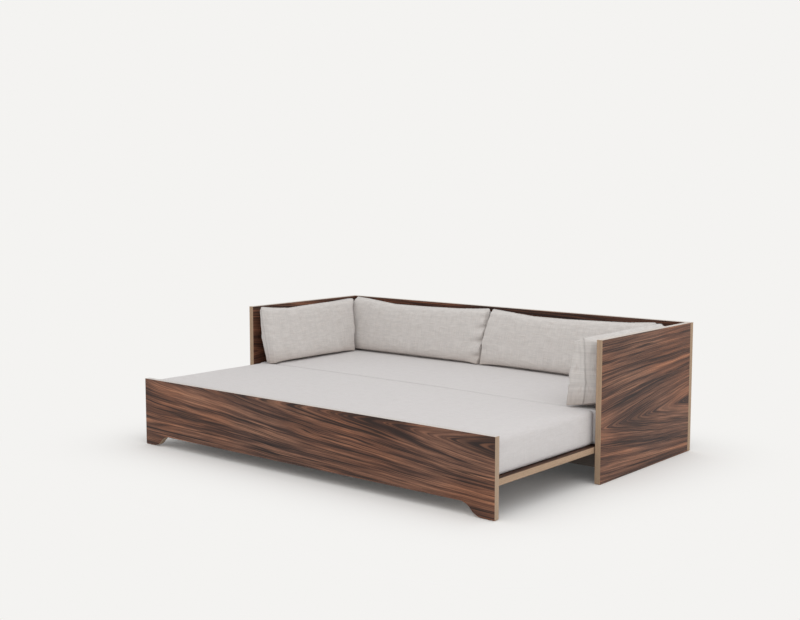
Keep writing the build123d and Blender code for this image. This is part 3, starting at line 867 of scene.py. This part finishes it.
def flatCloths(name, length, rise):
    power = pillow["bulgePower"]
    curve = pillow["bulgeCurve"]
    deselectAll()
    columns = round(length / pillow["cell"])
    rows = round(rise / pillow["cell"])
    bpy.ops.mesh.primitive_grid_add(x_subdivisions=columns, y_subdivisions=rows, size=1)
    piece = bpy.context.object
    piece.name = name
    bpy.ops.object.mode_set(mode="EDIT")
    bpy.ops.mesh.select_all(action="SELECT")
    bpy.ops.transform.resize(value=(length, rise, 1))
    bpy.ops.object.mode_set(mode="OBJECT")
    piece.data.uv_layers[0].name = "weave"
    piece.data.uv_layers.new(name="seam")
    for weave, seam in zip(piece.data.uv_layers["weave"].uv, piece.data.uv_layers["seam"].uv):
        x, y = weave.vector.x * length, weave.vector.y * rise
        weave.vector = (x, y)
        seam.vector = (min(x, length - x), min(y, rise - y))
    applyModifier(piece, "SOLIDIFY", thickness=pillow["lipThickness"], offset=0)
    cells = []
    for vertex in piece.data.vertices:
        x = vertex.co.x / (length / 2)
        y = vertex.co.y / (rise / 2)
        cells.append((round((x + 1) / 2 * columns), round((y + 1) / 2 * rows), vertex.co.z > 0))
        endFall = max(0, 1 - abs(x) ** (power * length / rise)) ** curve
        swell = endFall * max(0, 1 - abs(y) ** power) ** curve
        vertex.co.z += math.copysign(pillow["startBulge"] * swell, vertex.co.z)
        vertex.co.x *= 1 + pillow["cornerTaper"] * (rise / length) * (1 - abs(y) ** power)
        vertex.co.y *= 1 + pillow["cornerTaper"] * (1 - abs(x) ** pillow["taperPower"])
    return piece, cells


def blowUp(piece):
    modifier = piece.modifiers.new("Cloth", "CLOTH")
    cloth = modifier.settings
    cloth.quality = 6
    cloth.mass = 0.3
    cloth.tension_stiffness = 22
    cloth.compression_stiffness = 22
    cloth.shear_stiffness = 12
    cloth.bending_stiffness = 0.6
    cloth.use_pressure = True
    cloth.uniform_pressure_force = pillow["pressure"]
    cloth.effector_weights.gravity = 0
    modifier.collision_settings.use_collision = False
    modifier.point_cache.frame_start = 1
    modifier.point_cache.frame_end = pillow["frames"]
    scene = bpy.context.scene
    for step in range(1, pillow["frames"] + 1):
        scene.frame_set(step)
    bpy.context.view_layer.objects.active = piece
    bpy.ops.object.modifier_apply(modifier="Cloth")
    scene.frame_set(1)


# Presses the two rows of points at the seam into a narrow lip that stands out all round.
def pressLip(placed, cells):
    spots = {cell: index for index, cell in enumerate(cells)}
    columns = max(cell[0] for cell in cells)
    rows = max(cell[1] for cell in cells)

    def spot(column, row, front):
        return Vector(placed[spots[(column, row, front)]])

    def middle(column, row):
        return (spot(column, row, True) + spot(column, row, False)) / 2

    pressed = {}
    for (column, row, front), index in spots.items():
        inner = (min(max(column, 2), columns - 2), min(max(row, 2), rows - 2))
        rim = (columns if column > columns / 2 else 0, rows if row > rows / 2 else 0)
        onEnd = column in (0, 1, columns - 1, columns)
        onEdge = row in (0, 1, rows - 1, rows)
        if not onEnd and not onEdge:
            continue
        outer = (rim[0] if onEnd else column, rim[1] if onEdge else row)
        atRim = column in (0, columns) or row in (0, rows)
        seam = middle(*outer)
        inward = (middle(*inner) - seam).normalized()
        across = spot(*inner, front) - spot(*inner, not front)
        across = (across - inward * across.dot(inward)).normalized()
        half = pillow["lipThickness"] / 2 * (pillow["rimShare"] if atRim else 1)
        pressed[index] = seam + across * half + inward * (0 if atRim else pillow["lipHeight"])
        if atRim and (column, row) != outer:
            pressed[index] = middle(column, row) + across * half
    for index, place in pressed.items():
        placed[index] = list(place)


# Keeps a value above zero, with a soft bend.
def softFloor(value, softness):
    return (value + math.sqrt(value * value + softness * softness)) / 2


# Where the seam lies in each column and each row of points, so that it can be laid straight.
def seamPlaces(points, cells):
    lastColumn = max(cell[0] for cell in cells)
    lastRow = max(cell[1] for cell in cells)
    left, right, foot, top = {}, {}, {}, {}
    for point, (column, row, _) in zip(points, cells):
        if column == 0:
            left[row] = point.x
        if column == lastColumn:
            right[row] = point.x
        if row == 0:
            foot[column] = point.y
        if row == lastRow:
            top[column] = point.y
    return left, right, foot, top


def alongLine(line, place):
    for (firstPlace, first), (nextPlace, following) in zip(line, line[1:]):
        if place <= nextPlace:
            share = (place - firstPlace) / (nextPlace - firstPlace)
            return first + (following - first) * share
    return line[-1][1]


# Points close to an end are drawn out to it, which keeps the pillow full up to its corners.
def fullerEnd(s, length):
    away = (1 - abs(s)) * length / 2
    if away < lean["endReach"]:
        share = away / lean["endReach"]
        away = lean["endReach"] * (share + share * share) / 2
    return math.copysign(1 - away * 2 / length, s)


# How far a point moves with its end, which may reach past the cushion's box.
def endReach(cushion, s, height):
    side = 0 if s < 0 else 1
    foot, top, power = cushion["ends"][side]
    reach = foot + (top - foot) * height ** power
    return (2 * side - 1) * reach * abs(s) ** lean["endsCurve"]


# Rounds the two top corners a little, as a sewn corner is.
def roundedEar(s, v, length, top):
    radius = lean["earRadius"]
    beyond = radius - (1 - abs(s)) * length / 2
    above = radius - (top - v)
    if beyond > 0 and above > 0:
        shrink = max(beyond, above) / math.hypot(beyond, above)
        s = math.copysign(1 - (radius - beyond * shrink) * 2 / length, s)
        v = top - radius + above * shrink
    return s, v


# Stands one blown-up pillow at its place: s runs along the wall, u out from it, v up.
def leanOnWall(piece, cells, name):
    cushion = cushions[name]
    low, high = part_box(f"{name}_cover")
    along = 0 if cushion["wall"] == "back" else 1
    length = high[along] - low[along]
    depth = high[1 - along] - low[1 - along]
    rise = high.z - low.z
    points = [vertex.co.copy() for vertex in piece.data.vertices]
    left, right, foot, top = seamPlaces(points, cells)
    spanZ = max(abs(p.z) for p in points)
    placed = []
    for p, (column, row, _) in zip(points, cells):
        s = cushion["flip"] * ((p.x - left[row]) / (right[row] - left[row]) * 2 - 1)
        s = fullerEnd(s, length)
        up = (p.y - foot[column]) / (top[column] - foot[column])
        n = p.z / spanZ * cushion["flip"]
        away = (1 - abs(s)) * length / 2
        plump = lean["middlePower"] - cushion["endPower"] * math.exp(-away / lean["endReach"])
        plump -= lean["footPower"] * max(0, 1 - up) ** 2
        n = math.copysign(abs(n) ** plump, n)
        v = up * (rise - alongLine(cushion["top"], s) + lean["sink"]) - lean["sink"]
        height = min(1, max(0, v / rise))
        seamFoot, seamTop = cushion["seam"]
        seam = seamFoot + (seamTop - seamFoot) * height
        fullFoot, fullTop = cushion["full"]
        full = fullTop + (fullFoot - fullTop) * (1 - height) ** lean["fullPower"]
        u = seam + n * (full if n > 0 else cushion["rear"])
        u += creaseAt(cushion, s, height, n, length, rise)
        u += wrinkleAt(cushion, s, height, n, length)
        if n > 0:
            rolled = lean["footRound"] * (1 - math.exp(-away / lean["endReach"]))
            u -= rolled * max(0, 1 - v / lean["footHeight"]) ** 2 * min(1, n * lean["footBlend"])
        u = softFloor(u, lean["wallSoftness"])
        tuck = lean["tuck"] * max(0, 1 - u / lean["tuckDepth"])
        hollow = lean["undercut"] * (1 - lean["hollowShare"] * math.exp(-away / lean["hollowReach"]))
        tuck += hollow * min(1, max(0, (u / depth - lean["undercutFrom"]) / lean["undercutOver"])) ** 2
        v = tuck + softFloor(v - tuck, lean["footSoftness"])
        side, heft, reach = cushion.get("footLift", (1, 0.0, 0.1))
        heft *= math.exp(-(1 - side * s) * length / 2 / reach)
        v += heft * max(0, 1 - u / lean["liftDepth"]) * max(0, 1 - v / lean["liftHeight"])
        if n < 0 and s < 0:
            behind = max(0, 1 - u / lean["recedeDepth"]) ** 2
            s += cushion.get("recede", 0) * behind * math.exp(-away / lean["recedeReach"]) * 2 / length
        s, v = roundedEar(s, v, length, rise - alongLine(cushion["top"], s))
        placed.append([s * length / 2 + endReach(cushion, s, height), u, v])
    pressLip(placed, cells)
    fitAndPlace(piece, cushion, placed, low, high, along, depth)


# Creases run in from an end, wrinkles cross the whole cushion.
def creaseAt(cushion, s, height, n, length, rise):
    push = 0
    rear = -1 if cushion["wall"] == "back" else 0
    for side, place, deep, reach in cushion["creases"]:
        away = (1 - side * s) * length / 2
        off = (height - place) * rise + away * lean["creaseSlants"]
        width = lean["creaseWidth"] + away * lean["creaseWidens"]
        face = max(rear, min(1, n * lean["creaseBlend"]))
        push -= deep * math.exp(-(off / width) ** 2 - away / reach) * face
    return push


def wrinkleAt(cushion, s, height, n, length):
    away = (1 - abs(s)) * length / 2
    seed = cushion["seed"]
    endwise, upwards = lean["puckerScales"]
    ripple = noise.noise(Vector((seed, s * endwise, height * upwards)))
    endwise, upwards = lean["wrinkleScales"]
    broad = noise.noise(Vector((s * length * endwise, height * upwards, seed + lean["wrinkleSeed"])))
    pucker = ripple * lean["pucker"] * math.exp(-away / lean["puckerReach"])
    return (pucker + broad * lean["wrinkle"]) * max(-1, min(1, n * lean["wrinkleBlend"]))


# Fits the cushion to its box's depth, turns it to its wall and lowers it with the seat.
def fitAndPlace(piece, cushion, placed, low, high, along, depth):
    deepest = max(p[1] for p in placed)
    bottom = min(p[2] for p in placed)
    middle = (low[along] + high[along]) / 2
    for vertex, (s, u, v) in zip(piece.data.vertices, placed):
        u = u / deepest * depth
        place = Vector((0, 0, low.z + v - bottom))
        place[along] = middle + s
        if cushion["wall"] == "left":
            place.x = low.x + u
        elif cushion["wall"] == "right":
            place.x = high.x - u
        else:
            place.y = high.y - u
        place.z -= seatSag(place.x, place.y) * max(0, 1 - (v - bottom) / lean["sagHeight"])
        vertex.co = place


def makeCushions():
    cloth = linen("cushion_cloth", cushionCloth)
    blown = {}
    slackLong, slackHigh = pillow["sewingSlack"]
    for kind in ("back", "arm"):
        low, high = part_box(f"{kind}_cushion_left_cover")
        length = high.x - low.x if kind == "back" else high.y - low.y
        blown[kind] = flatCloths(f"{kind}_pillow", length + slackLong, high.z - low.z + slackHigh)
        blowUp(blown[kind][0])
        print(kind, "pillow blown up")
    for name in cushions:
        start, cells = blown[name.split("_")[0]]
        piece = start.copy()
        piece.data = start.data.copy()
        piece.name = name
        bpy.context.scene.collection.objects.link(piece)
        leanOnWall(piece, cells, name)
        deselectAll()
        piece.select_set(True)
        bpy.context.view_layer.objects.active = piece
        bpy.ops.object.mode_set(mode="EDIT")
        bpy.ops.mesh.select_all(action="SELECT")
        bpy.ops.mesh.normals_make_consistent(inside=False)
        bpy.ops.object.mode_set(mode="OBJECT")
        applyModifier(piece, "SUBSURF", levels=1, render_levels=1)
        bpy.ops.object.shade_smooth()
        piece.data.materials.append(cloth)
        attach(piece, name)
        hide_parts(f"{name}_cover", f"{name}_fill")
    for start, cells in blown.values():
        bpy.data.objects.remove(start)
    print("cushions made")


# Camera, floor and light.
camera = {
    "place": (3.3839, -4.1442, 1.2156),
    "turn": (83.914, 0, 39.836),
    "lens": 52.2,
}
studio = {
    "background": screenColour(244, 243, 241),
    "floor": screenColour(240, 239, 237),
    "floorSize": 60,
    "inset": 0.08,
    "fadeTo": 0.82,
    "fadePower": 0.5,
    # Painted light: the floor's least glow for the camera, under the object.
    "paintedUnderGlow": 0.05,
    "worldStrength": 0.86,
    "lampPower": 60,
    "lampSize": 4.0,
    "lampPlace": (2.9, -1.3, 4.3),
}


def makeCamera():
    data = bpy.data.cameras.new("camera")
    data.lens = camera["lens"]
    data.sensor_width = 36
    data.clip_end = 100
    eye = bpy.data.objects.new("camera", data)
    eye.location = camera["place"]
    eye.rotation_euler = [math.radians(angle) for angle in camera["turn"]]
    bpy.context.scene.collection.objects.link(eye)
    bpy.context.scene.camera = eye


# One for the camera's own rays and those by way of a mirror or glass, which see the background.
def seenShare(tree):
    rays = addNode(tree, "ShaderNodeLightPath", {}).outputs
    mirrored = calc(tree, "MAXIMUM", rays["Is Glossy Ray"], rays["Is Transmission Ray"])
    return calc(tree, "MAXIMUM", rays["Is Camera Ray"], mirrored)


# The floor takes light and shadow near the object and fades to the background further off.
# For the camera it also glows a little under and near the object: painted light on its shadow.
def floorMaterial():
    material, tree, shader = newMaterial("studio_floor", Roughness=1.0, Specular_IOR_Level=0.0)
    shader.inputs["Base Color"].default_value = studio["floor"]
    footprint = (cadHigh.x - studio["inset"], cadHigh.y - studio["inset"], 0)
    spread = vectorCalc(tree, "ABSOLUTE", objectPlace(tree))
    spread = vectorCalc(tree, "SUBTRACT", spread, footprint)
    spread = vectorCalc(tree, "MAXIMUM", spread)
    far = addNode(tree, "ShaderNodeVectorMath", {0: spread}, operation="LENGTH").outputs["Value"]
    near = calc(tree, "POWER", spanned(tree, far, 0.0, studio["fadeTo"]), studio["fadePower"])
    fade = spanned(tree, near, 0.0, 1.0, studio["paintedUnderGlow"], 1.0)
    glow = addNode(tree, "ShaderNodeEmission", {"Color": studio["background"], "Strength": 1.0})
    share = calc(tree, "MULTIPLY", fade, seenShare(tree))
    inputs = {0: share, 1: shader.outputs[0], 2: glow.outputs[0]}
    mix = addNode(tree, "ShaderNodeMixShader", inputs)
    tree.links.new(mix.outputs[0], tree.nodes["Material Output"].inputs["Surface"])
    return material


def makeStudio():
    deselectAll()
    bpy.ops.mesh.primitive_plane_add(size=studio["floorSize"], location=(0, 0, 0))
    floor = bpy.context.object
    floor.name = "studio_floor"
    floor.data.materials.append(floorMaterial())
    world = bpy.data.worlds.new("studio")
    bpy.context.scene.world = world
    world.use_nodes = True
    tree = world.node_tree
    light = tree.nodes["Background"]
    light.inputs["Color"].default_value = (1, 1, 1, 1)
    light.inputs["Strength"].default_value = studio["worldStrength"]
    seen = addNode(tree, "ShaderNodeBackground", {"Color": studio["background"], "Strength": 1.0})
    inputs = {0: seenShare(tree), 1: light.outputs[0], 2: seen.outputs[0]}
    mix = addNode(tree, "ShaderNodeMixShader", inputs)
    tree.links.new(mix.outputs[0], tree.nodes["World Output"].inputs["Surface"])
    lamp = bpy.data.lights.new("softbox", "AREA")
    lamp.energy = studio["lampPower"]
    lamp.size = studio["lampSize"]
    box = bpy.data.objects.new("softbox", lamp)
    box.location = studio["lampPlace"]
    box.rotation_euler = (-Vector(studio["lampPlace"])).to_track_quat("-Z", "Y").to_euler()
    bpy.context.scene.collection.objects.link(box)
    print("studio made")


bpy.context.scene.view_settings.view_transform = "Standard"
makeCamera()
makeStudio()
finishWalnut()
finishFittings()
makeMattresses()
makeCushions()
